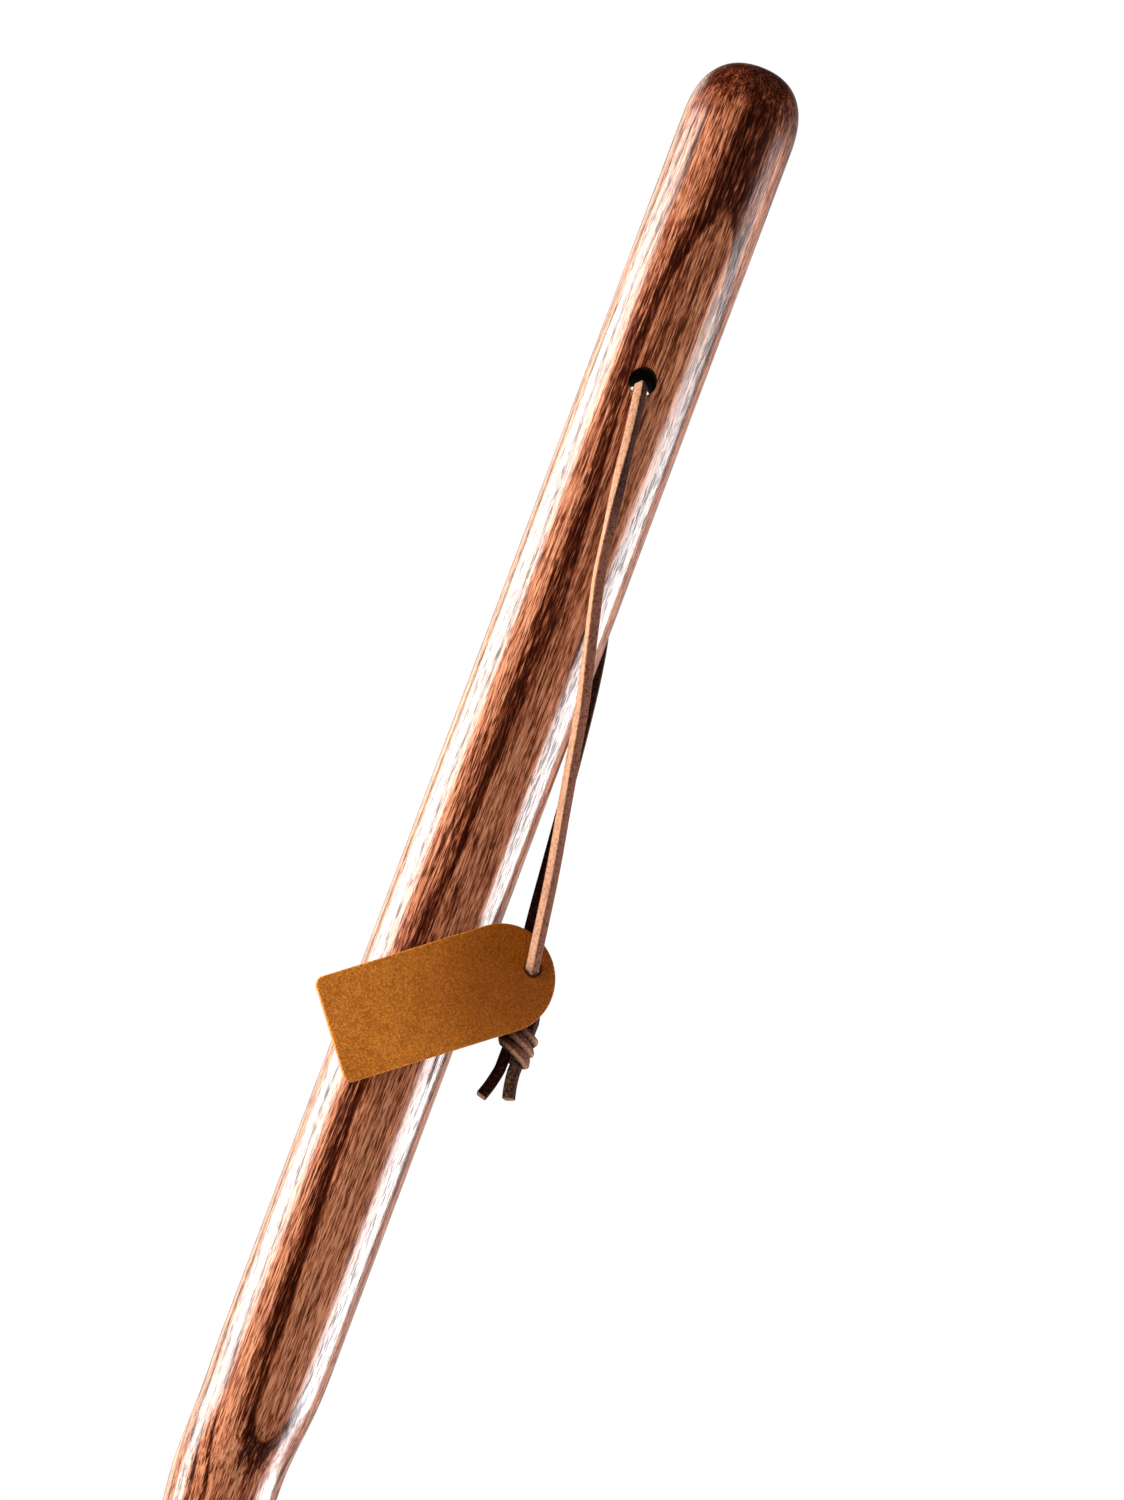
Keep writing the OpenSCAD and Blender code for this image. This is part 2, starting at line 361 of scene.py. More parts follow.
@dataclass(frozen=True)
class OakFinish(Finish):
    """Stained oak under varnish: growth rings cut by the surface, dark streaks and open pores.

    A ring is given by how far it lies towards the heart from the shaft's axis, and by the depth over which
    its dark earlywood fades away from the heart. The drift moves the rings by height. Lengths are in
    millimetres, spans of height are the ends of a step, and what is called dark moves the tone.
    """

    name: str = "stained_oak"
    tones: tuple[tuple[float, Colour], ...] = (
        (0.26, (0.58, 0.245, 0.128)), (0.44, (0.41, 0.145, 0.068)), (0.57, (0.27, 0.078, 0.032)),
        (0.70, (0.125, 0.027, 0.008)), (0.90, (0.036, 0.0045, 0.0007)),
    )
    middle_tone: float = 0.47
    pore: Colour = (0.012, 0.0012, 0.0003)
    pore_cover: float = 0.9
    red: Colour = (0.97, 0.57, 0.35)

    heart_azimuth: float = 20.0
    heart_distance: float = 130.0
    rings: Table = ((-10.2, 2.0), (-5.0, 1.6), (-0.4, 1.9), (3.0, 1.7), (6.6, 1.4), (15.2, 4.2))
    ring_line: Table = ((-1.0, 0.0), (-0.65, 0.4), (-0.3, 0.92), (0.0, 1.0))
    ring_edge: float = 0.16
    ring_dark: float = 0.38
    half_span: float = 18.0
    drift: Table = (
        (0.0, 0.2), (160.0, -0.3), (330.0, 0.25), (480.0, 0.3), (560.0, 0.85), (700.0, 0.8),
        (860.0, 0.88), (950.0, 0.85), (985.0, 0.6), (1007.0, 0.15), (1037.0, -0.3), (1067.0, -1.1),
        (1110.0, -0.4), (1157.0, 0.05), (1177.0, 0.1), (1217.0, 0.86), (1247.0, 0.35), (1277.0, -0.8),
        (1297.0, -1.7), (1317.0, -1.4), (1327.0, -1.1), (1337.0, 0.0), (1345.0, 0.55), (1348.0, 1.15),
        (1351.0, 1.4), (1355.0, 1.54), (1362.0, 1.64), (1375.0, 1.8), (1397.0, 2.0),
    )
    wave: Grain = Grain((0.10, 0.10, 0.04), 1.0)
    wave_shift: float = 0.6
    twist_low: Span = (480.0, 560.0)
    twist_high: Span = (1010.0, 950.0)
    squeeze: float = 1.2
    squeezed: float = 2.7

    broad: Grain = Grain((0.5, 0.5, 0.012), 3.0, 0.6)
    broad_shift: float = 1.2
    broad_dark: float = 0.8
    hair: Grain = Grain((1.9, 1.9, 0.11), 3.0, 0.7)
    hair_shift: float = 1.1
    hair_dark: float = 1.9
    tone: Grain = Grain((0.16, 0.16, 0.008))
    tone_dark: float = 0.3

    # The crown is darkened for its end grain and with painted shade, as its top faces away from the side
    # lamps.
    end_grain_and_shade: Span = (1366.0, 1396.0)
    end_grain_and_shade_dark: float = 0.9
    end_grain_calm: float = 1.2
    darker_face: Span = (1225.0, 1335.0)
    face_edge: float = 0.6
    face_dark: float = 0.12
    darker_foot: Span = (720.0, 420.0)
    foot_dark: float = 0.12
    darker_end: Span = (260.0, 70.0)
    end_dark: float = 0.14
    redder_foot: Span = (1000.0, 450.0)

    patch: Grain = Grain((0.25, 0.25, 0.03), 1.0)
    bend: Grain = Grain((0.3, 0.3, 0.06), 1.0)
    dash: Point = (1.8, 1.8, 0.17)
    dash_size: Span = (0.2, 0.4)
    dash_early: float = 0.2
    dash_edge: float = 0.12
    fine: Point = (2.9, 2.9, 0.26)
    fine_size: Span = (0.24, 0.54)
    fine_edge: float = 0.14
    fine_cover: Span = (0.5, 0.9)

    roughness: float = 0.5
    coat_roughness: float = 0.2
    pore_dull: float = 0.62
    worn_foot: Span = (300.0, 80.0)
    worn_dull: float = 0.45
    depth: float = 0.08
    pore_depth: float = 0.8
    hair_depth: float = 0.2

    def paint(self, board: Board) -> None:
        """Lays the wood's nodes.

        Args:
            board: Board of the material.
        """
        place = board.millimetres()
        z = board.split(place)[2]
        broad, hair, tone = (board.noise(place, g) - NOISE_MEAN for g in (self.broad, self.hair, self.tone))
        towards = self._towards_heart(board, place, z) + broad * self.broad_shift + hair * self.hair_shift
        last = self.rings[-1][0]
        below = (last - towards).larger(0.0).smaller(self.squeezed)
        towards = towards - below * z.step(*self.twist_low) * z.step(*self.twist_high) * self.squeeze
        crown = z.step(*self.end_grain_and_shade)
        # Painted shade, with end grain: the crown is turned towards dark earlywood.
        early = self._earlywood(board, towards).larger(crown * self.end_grain_and_shade_dark)
        face = towards.step(last, last + self.face_edge) * z.step(*self.darker_face)
        shade = (
            broad * self.broad_dark
            + hair * (self.hair_dark - crown * self.end_grain_calm)
            + tone * self.tone_dark
            + early * self.ring_dark
            + face * self.face_dark
            + z.step(*self.darker_foot) * self.foot_dark
            + z.step(*self.darker_end) * self.end_dark
            + self.middle_tone
        )
        pores = self._pores(board, place, early)
        stain = board.mix(z.step(*self.redder_foot), WHITE, self.red)
        colour = board.scaled(board.ramp(shade, self.tones), stain)
        board.surface(
            Base_Color=board.mix(pores * self.pore_cover, colour, self.pore),
            Roughness=self.roughness,
            Specular_IOR_Level=0.0,
            Coat_Weight=(1.0 - pores * self.pore_dull) * (1.0 - z.step(*self.worn_foot) * self.worn_dull),
            Coat_Roughness=self.coat_roughness,
            Normal=board.bump(1.0 - pores * self.pore_depth - hair * self.hair_depth, self.depth),
        )

    def _towards_heart(self, board: Board, place: Wire, z: Wire) -> Wire:
        """How far each point lies towards the heart, with the rings' drift up the staff taken off.

        Args:
            board: Board of the material.
            place: Place in millimetres.
            z: Height in millimetres.

        Returns:
            Distance from the shaft's axis towards the heart, in millimetres.
        """
        turn = math.radians(self.heart_azimuth)
        reach = self.heart_distance
        heart = (reach * math.sin(turn), -reach * math.cos(turn), 0.0)
        away = board.vector("DISTANCE", board.scaled(place, LEVEL), heart, out="Value")
        top = self.drift[-1][0]
        low = min(d for _, d in self.drift)
        span = max(d for _, d in self.drift) - low
        drift = board.ramp(z / top, [(h / top, (d - low) / span) for h, d in self.drift])
        wave = board.noise(place, self.wave) - NOISE_MEAN
        return reach - away - drift * span - low + wave * self.wave_shift

    def _earlywood(self, board: Board, towards: Wire) -> Wire:
        """The dark earlywood of the rings.

        Args:
            board: Board of the material.
            towards: Distance towards the heart, in millimetres.

        Returns:
            1 in the darkest earlywood, 0 in plain latewood.
        """
        half, stops = self.half_span, []
        for ring, fade in self.rings:
            line = [(share * fade, dark) for share, dark in self.ring_line] + [(self.ring_edge, 0.0)]
            stops += [((ring + off + half) / (2.0 * half), dark) for off, dark in line]
        return board.ramp((towards + half) / (2.0 * half), stops)

    def _pores(self, board: Board, place: Wire, early: Wire) -> Wire:
        """Open pores: long thin dashes, crowded in the earlywood and fewer elsewhere.

        Args:
            board: Board of the material.
            place: Place in millimetres.
            early: Where the earlywood is.

        Returns:
            1 in a pore, 0 on plain wood.
        """
        patch = board.noise(place, self.patch)
        bend = board.noise(place, self.bend)
        lean = board.node("ShaderNodeCombineXYZ", sockets={0: bend, 1: bend, 2: 0.0})
        dash = board.cells(board.vector("ADD", board.scaled(place, self.dash), lean))
        coarse = (early * self.dash_early + patch.spread(*self.dash_size) - dash).filled(self.dash_edge)
        fine = board.cells(board.scaled(place, self.fine))
        thin = (patch.spread(*self.fine_size) - fine).filled(self.fine_edge)
        return coarse.larger(thin * early.spread(*self.fine_cover))


@dataclass(frozen=True)
class BoreFinish(MattFinish):
    """Raw drilled wood inside the bore: no varnish, dark with stain, ringed by the drill."""

    name: str = "raw_bore"
    roughness: Span = (0.85, 0.95)
    sheen: float = 0.05
    depth: float = 0.15
    raw: Colour = (0.040, 0.014, 0.007)
    scorched: Stain = Stain((0.012, 0.005, 0.003), 0.35, 0.65)
    rings: Grain = Grain((0.3, 3.0, 0.3), 3.0)

    def paint(self, board: Board) -> None:
        """Lays the raw wood's nodes."""
        rings = board.noise(board.millimetres(), self.rings)
        self.lay(board, self.scorched.over(self.raw, rings), rings, rings)


@dataclass(frozen=True)
class LaceFinish(MattFinish):
    """Square-cut leather lace: smooth pale face, rough brown cut sides, darker with soil and painted shade.

    It reads the numbers along, side, soil_and_shade and fresh that are stored on the lace's points.
    """

    name: str = "tan_lace"
    roughness: Span = (0.6, 0.8)
    sheen: float = 0.03
    depth: float = 0.35
    face: Colour = (0.53, 0.285, 0.175)
    cut: Colour = (0.22, 0.089, 0.056)
    cut_sides: Span = (0.66, 0.92)
    rub: Grain = Grain(detail=3.0)
    rub_scale: Span = (0.16, 1.2)
    rubbed: Span = (0.45, 0.7)
    rub_cover: float = 0.35
    fuzz: Grain = Grain(1.15, 3.0, 0.75)
    fleck: Stain = Stain((0.072, 0.02, 0.011), 0.46, 0.64)
    fleck_cover: Span = (0.45, 0.85)
    # The colour of soil and of painted shade.
    soiled_and_shaded: Colour = (0.010, 0.0014, 0.0008)
    soil_and_shade_cover: Span = (0.55, 1.45)
    fresh: Colour = (0.36, 0.19, 0.13)
    fresh_cover: float = 0.8

    def paint(self, board: Board) -> None:
        """Lays the lace's nodes.

        Args:
            board: Board of the material.
        """
        side = board.attribute("side")
        lie = {0: board.attribute("along") * self.rub_scale[0], 1: side * self.rub_scale[1]}
        rub = board.noise(board.node("ShaderNodeCombineXYZ", sockets=lie), self.rub)
        fuzz = board.noise(board.millimetres(), self.fuzz)
        rough = board.maths("ABSOLUTE", side).step(*self.cut_sides)
        colour = board.mix(rough, self.face, self.cut)
        colour = board.mix(rub.step(*self.rubbed) * self.rub_cover, colour, self.cut)
        colour = self.fleck.over(colour, fuzz, rough.spread(*self.fleck_cover))
        # Soil and painted shade, as stored on the lace's points, mottled by the fuzz.
        colour = board.mix(board.attribute("soil_and_shade") * fuzz.spread(*self.soil_and_shade_cover), colour, self.soiled_and_shaded)
        colour = board.mix(board.attribute("fresh") * self.fresh_cover, colour, self.fresh)
        self.lay(board, colour, fuzz, fuzz)


@dataclass(frozen=True)
class TagFinish(MattFinish):
    """Cognac leather: pebbled grain, mottled dye, a paler cut edge, and the round end darker by dye and
    painted shade.

    The reach is the distance from the hole, in millimetres.
    """

    DEEP = (0.23, 0.050, 0.0004)
    # The dark of the painted shade in the creases, and of the specks.
    PIT = (0.12, 0.026, 0.0003)

    name: str = "cognac_leather"
    roughness: Span = (0.38, 0.53)
    sheen: float = 0.06
    depth: float = 0.5
    hole: Point = (0.0, 0.0, 0.0)
    dye: Colour = (0.68, 0.215, 0.022)
    mottle: Grain = Grain(0.16, 3.0)
    mottled: Stain = Stain(DEEP, 0.35, 0.75, 0.3)
    # Darker towards the round end: deeper dye there, and painted shade, with the far end lit from the left.
    round_end_dye_and_shade: Stain = Stain(DEEP, 52.0, 8.0, 0.88)
    pebble: float = 1.4
    pebble_depth: float = 0.7
    # Painted shade: the creases between the pebbles are darkened.
    groove_shade: Stain = Stain(PIT, 0.3, 0.75, 0.32)
    # Painted highlight: pale golden tops of the pebbles, more of it away from the hole, where the light
    # falls.
    pebble_highlight: Stain = Stain((0.86, 0.40, 0.09), 0.45, 0.15)
    pebble_highlight_reach: Span = (14.0, 56.0)
    pebble_highlight_cover: Span = (0.05, 0.27)
    speck: Grain = Grain(1.5, 2.0, 0.8)
    specked: Stain = Stain(PIT, 0.46, 0.66, 0.4)
    edge: Colour = (0.52, 0.25, 0.08)
    # Painted shade in and round the hole.
    hole_shade: Stain = Stain((0.035, 0.011, 0.003), 3.4, 2.4, 0.9)
    crease: Grain = Grain(2.2, 3.0, 0.6)
    crease_depth: float = 0.4

    def paint(self, board: Board) -> None:
        """Lays the tag's nodes.

        Args:
            board: Board of the material.
        """
        place = board.millimetres()
        reach = board.vector("DISTANCE", place, self.hole, out="Value")
        pebble = board.cells(place, self.pebble)
        crease = board.noise(place, self.crease)
        colour = self.mottled.over(self.dye, board.noise(place, self.mottle))
        # Deeper dye and painted shade towards the round end.
        colour = self.round_end_dye_and_shade.over(colour, reach)
        # Painted shade in the creases between the pebbles.
        colour = self.groove_shade.over(colour, pebble)
        # Painted highlight on the pebbles' tops.
        colour = self.pebble_highlight.over(colour, pebble, reach.step(*self.pebble_highlight_reach).spread(*self.pebble_highlight_cover))
        colour = self.specked.over(colour, board.noise(place, self.speck))
        colour = board.mix(board.attribute("edge"), colour, self.edge)
        # Painted shade in and round the hole.
        colour = self.hole_shade.over(colour, reach)
        self.lay(board, colour, crease, 1.0 - pebble * self.pebble_depth - crease * self.crease_depth)


@dataclass(frozen=True)
class RubberFinish(MattFinish):
    """Satin brown moulded rubber, dusty in clouds and dark on the sole."""

    name: str = "brown_rubber"
    roughness: Span = (0.34, 0.54)
    sheen: float = 0.2
    depth: float = 0.05
    body: Colour = (0.085, 0.043, 0.026)
    cloud: Grain = Grain(0.18, 4.0, 0.6)
    dust: Stain = Stain((0.155, 0.09, 0.06), 0.4, 0.75, 0.5)
    sole: Stain = Stain((0.035, 0.02, 0.014), 3.6, 2.0)
    skin: Grain = Grain(1.6, 3.0, 0.6)

    def paint(self, board: Board) -> None:
        """Lays the rubber's nodes.

        Args:
            board: Board of the material.
        """
        place = board.millimetres()
        cloud = board.noise(place, self.cloud)
        colour = self.sole.over(self.dust.over(self.body, cloud), board.split(place)[2])
        self.lay(board, colour, cloud, board.noise(place, self.skin))


@dataclass(frozen=True)
class SteelFinish(Finish):
    """Plain stamped steel with rolling marks."""

    name: str = "stamped_steel"
    bright: Colour = (0.60, 0.60, 0.59)
    dull: Stain = Stain((0.38, 0.37, 0.36), 0.35, 0.7)
    marks: Grain = Grain((0.25, 4.0, 1.0), 3.0)
    roughness: Span = (0.25, 0.5)

    def paint(self, board: Board) -> None:
        """Lays the steel's nodes."""
        marks = board.noise(board.millimetres(), self.marks)
        board.surface(
            Base_Color=self.dull.over(self.bright, marks),
            Metallic=1.0,
            Roughness=marks.spread(*self.roughness),
        )


@dataclass(frozen=True)
class FloorFinish(Finish):
    """Pale floor that keeps the shadow near the staff and goes over to white further out, in metres.

    The white is for the rays that see the floor itself: the camera's, gloss and glass.
    """

    name: str = "pale_floor"
    pale: Colour = (0.86, 0.86, 0.86)
    shadow_radius: float = 0.3
    white_radius: float = 1.1

    def paint(self, board: Board) -> None:
        """Lays the floor's nodes.

        Args:
            board: Board of the material.
        """
        place = board.node("ShaderNodeTexCoord", out="Object")
        out = board.vector("LENGTH", place, out="Value")
        camera, gloss, glass = board.outputs("ShaderNodeLightPath", RAYS)
        far = out.step(self.shadow_radius, self.white_radius) * camera.larger(gloss).larger(glass)
        paper = board.node("ShaderNodeBsdfDiffuse", sockets={"Color": solid(self.pale)})
        white = board.node("ShaderNodeEmission", sockets={"Color": solid(WHITE), "Strength": 1.0})
        board.output(board.node("ShaderNodeMixShader", sockets={0: far, 1: paper, 2: white}))


def put_down(
    name: str, shape: bmesh.types.BMesh, material: bpy.types.Material, sharp: float = SHARP
) -> bpy.types.Object:
    """Turns a finished bmesh into an object of the scene.

    Args:
        name: The piece's name.
        shape: Its mesh, in metres and in place; it is freed.
        material: Its material.
        sharp: Angle in degrees from which an edge stays sharp.

    Returns:
        The object.
    """
    mesh = bpy.data.meshes.new(name)
    shape.to_mesh(mesh)
    shape.free()
    mesh.shade_smooth()
    mesh.set_sharp_from_angle(angle=math.radians(sharp))
    mesh.materials.append(material)
    piece = bpy.data.objects.new(name, mesh)
    bpy.context.scene.collection.objects.link(piece)
    return piece


def settle(piece: bpy.types.Object, body: Body, slot: Slot, *nodes: str) -> bpy.types.Object:
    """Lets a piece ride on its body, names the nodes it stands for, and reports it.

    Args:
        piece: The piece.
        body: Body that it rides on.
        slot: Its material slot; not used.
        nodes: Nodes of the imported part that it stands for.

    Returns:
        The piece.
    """
    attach(piece, body.value)
    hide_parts(*nodes)
    LOG.info("%s: %d faces, for %s", piece.name, len(piece.data.polygons), ", ".join(nodes))
    return piece


def turned(outline: Iterable[Span], steps: int, axis: Point = UP) -> bmesh.types.BMesh:
    """Spins an outline into a closed turned shape.

    Args:
        outline: Radius and place along the axis, in millimetres, from one end to the other.
        steps: Facets in the turn.
        axis: Axis of the turn, Z or Y.

    Returns:
        The shape, with its normals outwards.
    """
    shape = bmesh.new()
    dots = [shape.verts.new((r * MM, h * axis[1] * MM, h * axis[2] * MM)) for r, h in outline]
    lines = [shape.edges.new(pair) for pair in zip(dots, dots[1:])]
    bmesh.ops.spin(
        shape, geom=dots + lines, cent=(0.0, 0.0, 0.0), axis=axis, angle=FULL_TURN, steps=steps,
        use_merge=True,
    )
    bmesh.ops.remove_doubles(shape, verts=shape.verts[:], dist=SAME_DOT * MM)
    bmesh.ops.recalc_face_normals(shape, faces=shape.faces[:])
    return shape


def spaced(low: float, high: float, step: float) -> list[float]:
    """Places from low up to, but not including, high, about a step apart."""
    count = max(1, round((high - low) / step))
    return [low + (high - low) * i / count for i in range(count)]


def quarter(step: float) -> list[Span]:
    """Cosine and sine over a quarter turn, about a step of degrees apart, without its end."""
    turns = [math.radians(a) for a in spaced(0.0, QUARTER, step)]
    return [(math.cos(turn), math.sin(turn)) for turn in turns]


def smooth(t: float) -> float:
    """A smooth step from 0 to 1."""
    c = max(0.0, min(1.0, t))
    return c * c * (3.0 - 2.0 * c)


@dataclass
class Shaft:
    """The oak shaft, one piece: straight foot, tapered lower shaft, carved twist, handle and dome.

    The mouth of the bore is given by its flare and its distance from the shaft's axis.
    """

    length: float = 1397.0
    handle_r: float = 16.9
    crown_r: float = 16.65
    dome_h: float = 21.0
    dome_power: float = 2.5
    belly_r: float = 16.2
    foot_r: float = 11.1
    foot_bottom: float = 8.2
    foot_top: float = 30.0
    foot_bevel: float = 0.8
    taper_power: float = 2.5
    twist_bottom: float = 495.0
    twist_top: float = 1000.0
    twist_r: float = 15.5
    twist_throw: float = 1.25
    twist_lean: float = 0.2
    twist_pitch: float = 81.0
    twist_first: float = 28.0
    twist_fade: float = 45.0
    bore_z: float = 1296.0
    bore_r: float = 3.95
    bore_land: float = 8.0
    mouth: Table = (
        (0.0, 15.4), (0.03, 15.8), (0.11, 16.15), (0.26, 16.45), (0.48, 16.7), (0.9, 17.0), (1.3, 17.6),
    )
    facets: int = 120
    bore_facets: int = 64
    foot_step: float = 5.0
    taper_steps: int = 60
    taper_crowding: float = 1.5
    twist_step: float = 2.5
    handle_step: float = 6.0
    dome_step: float = 3.0

    def outline(self) -> list[Span]:
        """The turned blank's outline, from the foot's end to the crown.

        Returns:
            Radius and height of each point, in millimetres.
        """
        dome_z = self.length - self.dome_h
        land_z = self.bore_z + self.bore_land
        bend = 2.0 / self.dome_power
        foot_z = self.foot_bottom + self.foot_bevel
        dots = [(0.0, self.foot_bottom), (self.foot_r - self.foot_bevel, self.foot_bottom)]
        dots += [(self.foot_r, h) for h in spaced(foot_z, self.foot_top, self.foot_step)]
        for t in spaced(0.0, 1.0, 1 / self.taper_steps):
            rise = t ** self.taper_crowding
            full = 1.0 - (1.0 - rise) ** self.taper_power
            height = self.foot_top + (self.twist_bottom - self.foot_top) * rise
            dots.append((self.foot_r + (self.belly_r - self.foot_r) * full, height))
        dots += [(self.twist_r, h) for h in spaced(self.twist_bottom, self.twist_top, self.twist_step)]
        for h in spaced(self.twist_top, land_z, self.handle_step):
            share = (h - self.twist_top) / (land_z - self.twist_top)
            dots.append((self.handle_r + (self.crown_r - self.handle_r) * share, h))
        dots += [(self.crown_r, h) for h in spaced(land_z, dome_z, self.handle_step)]
        for c, s in quarter(self.dome_step):
            dots.append((self.crown_r * c ** bend, dome_z + self.dome_h * s ** bend))
        dots.append((0.0, self.length))
        return dots

    def carved(self, height: float, angle: float) -> float:
        """Radius of the carved stretch.

        Args:
            height: Height above the sole, in millimetres.
            angle: Angle about the axis, in radians.

        Returns:
            The radius, in millimetres.
        """
        low = smooth((height - self.twist_bottom) / self.twist_fade)
        high = smooth((self.twist_top - height) / self.twist_fade)
        turn = angle - FULL_TURN * (height - self.twist_bottom - self.twist_first) / self.twist_pitch
        ends = (self.belly_r - self.twist_r) * (1.0 - low) + (self.handle_r - self.twist_r) * (1.0 - high)
        wave = self.twist_throw * math.cos(turn) + self.twist_lean * math.sin(2.0 * turn)
        return self.twist_r + ends + low * high * wave

    def blank(self) -> bmesh.types.BMesh:
        """The turned blank with its twist carved, before the bore is drilled.

        Returns:
            The blank.
        """
        shape = turned(self.outline(), self.facets)
        for dot in shape.verts:
            height = dot.co.z / MM
            if self.twist_bottom <= height < self.twist_top:
                angle = math.atan2(dot.co.y, dot.co.x)
                radius = self.carved(height, angle) * MM
                dot.co.x, dot.co.y = radius * math.cos(angle), radius * math.sin(angle)
        return shape

    def drill(self) -> bmesh.types.BMesh:
        """The drill for the lanyard bore, with a mouth that is eased at both ends.

        Returns:
            The drill, in place.
        """
        out = [(self.bore_r + flare, y) for flare, y in self.mouth] + [(0.0, self.mouth[-1][1])]
        shape = turned([(r, -y) for r, y in reversed(out)] + out, self.bore_facets, (0.0, 1.0, 0.0))
        bmesh.ops.translate(shape, vec=(0.0, 0.0, self.bore_z * MM), verts=shape.verts[:])
        return shape

    def build(self, wood: bpy.types.Material, raw: bpy.types.Material) -> bpy.types.Object:
        """Builds the shaft and drills its bore.

        Args:
            wood: The varnished wood.
            raw: The wood inside the bore.

        Returns:
            The shaft, riding on its body.
        """
        shaft = put_down("oak_shaft", self.blank(), wood)
        drill = put_down("bore_drill", self.drill(), raw)
        cut = shaft.modifiers.new("bore", "BOOLEAN")
        cut.operation, cut.solver, cut.object = "DIFFERENCE", "EXACT", drill
        cut.material_mode = "TRANSFER"
        drilled = bpy.data.meshes.new_from_object(shaft.evaluated_get(bpy.context.evaluated_depsgraph_get()))
        shaft.modifiers.clear()
        shaft.data = drilled
        bpy.data.objects.remove(drill)
        drilled.set_sharp_from_angle(angle=math.radians(SHARP))
        return settle(shaft, Body.STAFF, Slot.OAK, "shaft")


@dataclass
class Tip:
    """The rubber tip and the washer in it."""

    height: float = 30.0
    rim_r: float = 13.65
    base_r: float = 15.1
    sole_r: float = 12.9
    heel_h: float = 4.2
    lip_r: float = 0.9
    socket_r: float = 11.15
    socket_floor: float = 7.0
    bevel: float = 0.8
    groove_w: float = 1.6
    groove_depth: float = 1.2
    groove_slope: float = 0.25
    groove_shares: Span = (0.36, 0.7)
    flare_power: float = 1.6
    facets: int = 96
    heel_step: float = 9.0
    wall_steps: int = 28
    lip_step: float = 15.0

    def outline(self) -> list[Span]:
        """The tip's outline, from the middle of the sole, round the outside and down into the socket.

        Returns:
            Radius and height of each point, in millimetres.
        """
        dots = [(0.0, 0.0)]
        for share in self.groove_shares:
            left, right = (share * self.sole_r + way * self.groove_w / 2 for way in (-1.0, 1.0))
            dots += [(left, 0.0), (left + self.groove_slope, self.groove_depth),
                     (right - self.groove_slope, self.groove_depth), (right, 0.0)]
        for c, s in quarter(self.heel_step):
            dots.append((self.sole_r + (self.base_r - self.sole_r) * s, self.heel_h * (1.0 - c)))
        wall = self.height - self.lip_r - self.heel_h
        for t in spaced(0.0, 1.0, 1 / self.wall_steps):
            flare = (self.base_r - self.rim_r) * (1.0 - t) ** self.flare_power
            dots.append((self.rim_r + flare, self.heel_h + wall * t))
        for c, s in quarter(self.lip_step):
            dots.append((self.rim_r - self.lip_r * (1.0 - c), self.height - self.lip_r * (1.0 - s)))
        dots += [(self.rim_r - self.lip_r, self.height), (self.socket_r + self.bevel, self.height),
                 (self.socket_r, self.height - self.bevel), (self.socket_r, self.socket_floor),
                 (0.0, self.socket_floor)]
        return dots

    def build(self, rubber: bpy.types.Material, steel: bpy.types.Material, washer: bpy.types.Object) -> None:
        """Builds the tip and dresses the washer.

        Args:
            rubber: Material of the tip.
            steel: Material of the washer.
            washer: The washer's own solid, which is shown as it is.
        """
        tip = put_down("moulded_tip", turned(self.outline(), self.facets), rubber)
        settle(tip, Body.TIP, Slot.RUBBER, "rubber_tip")
        washer.data.materials.clear()
        washer.data.materials.append(steel)
        LOG.info("%s: dressed", washer.name)


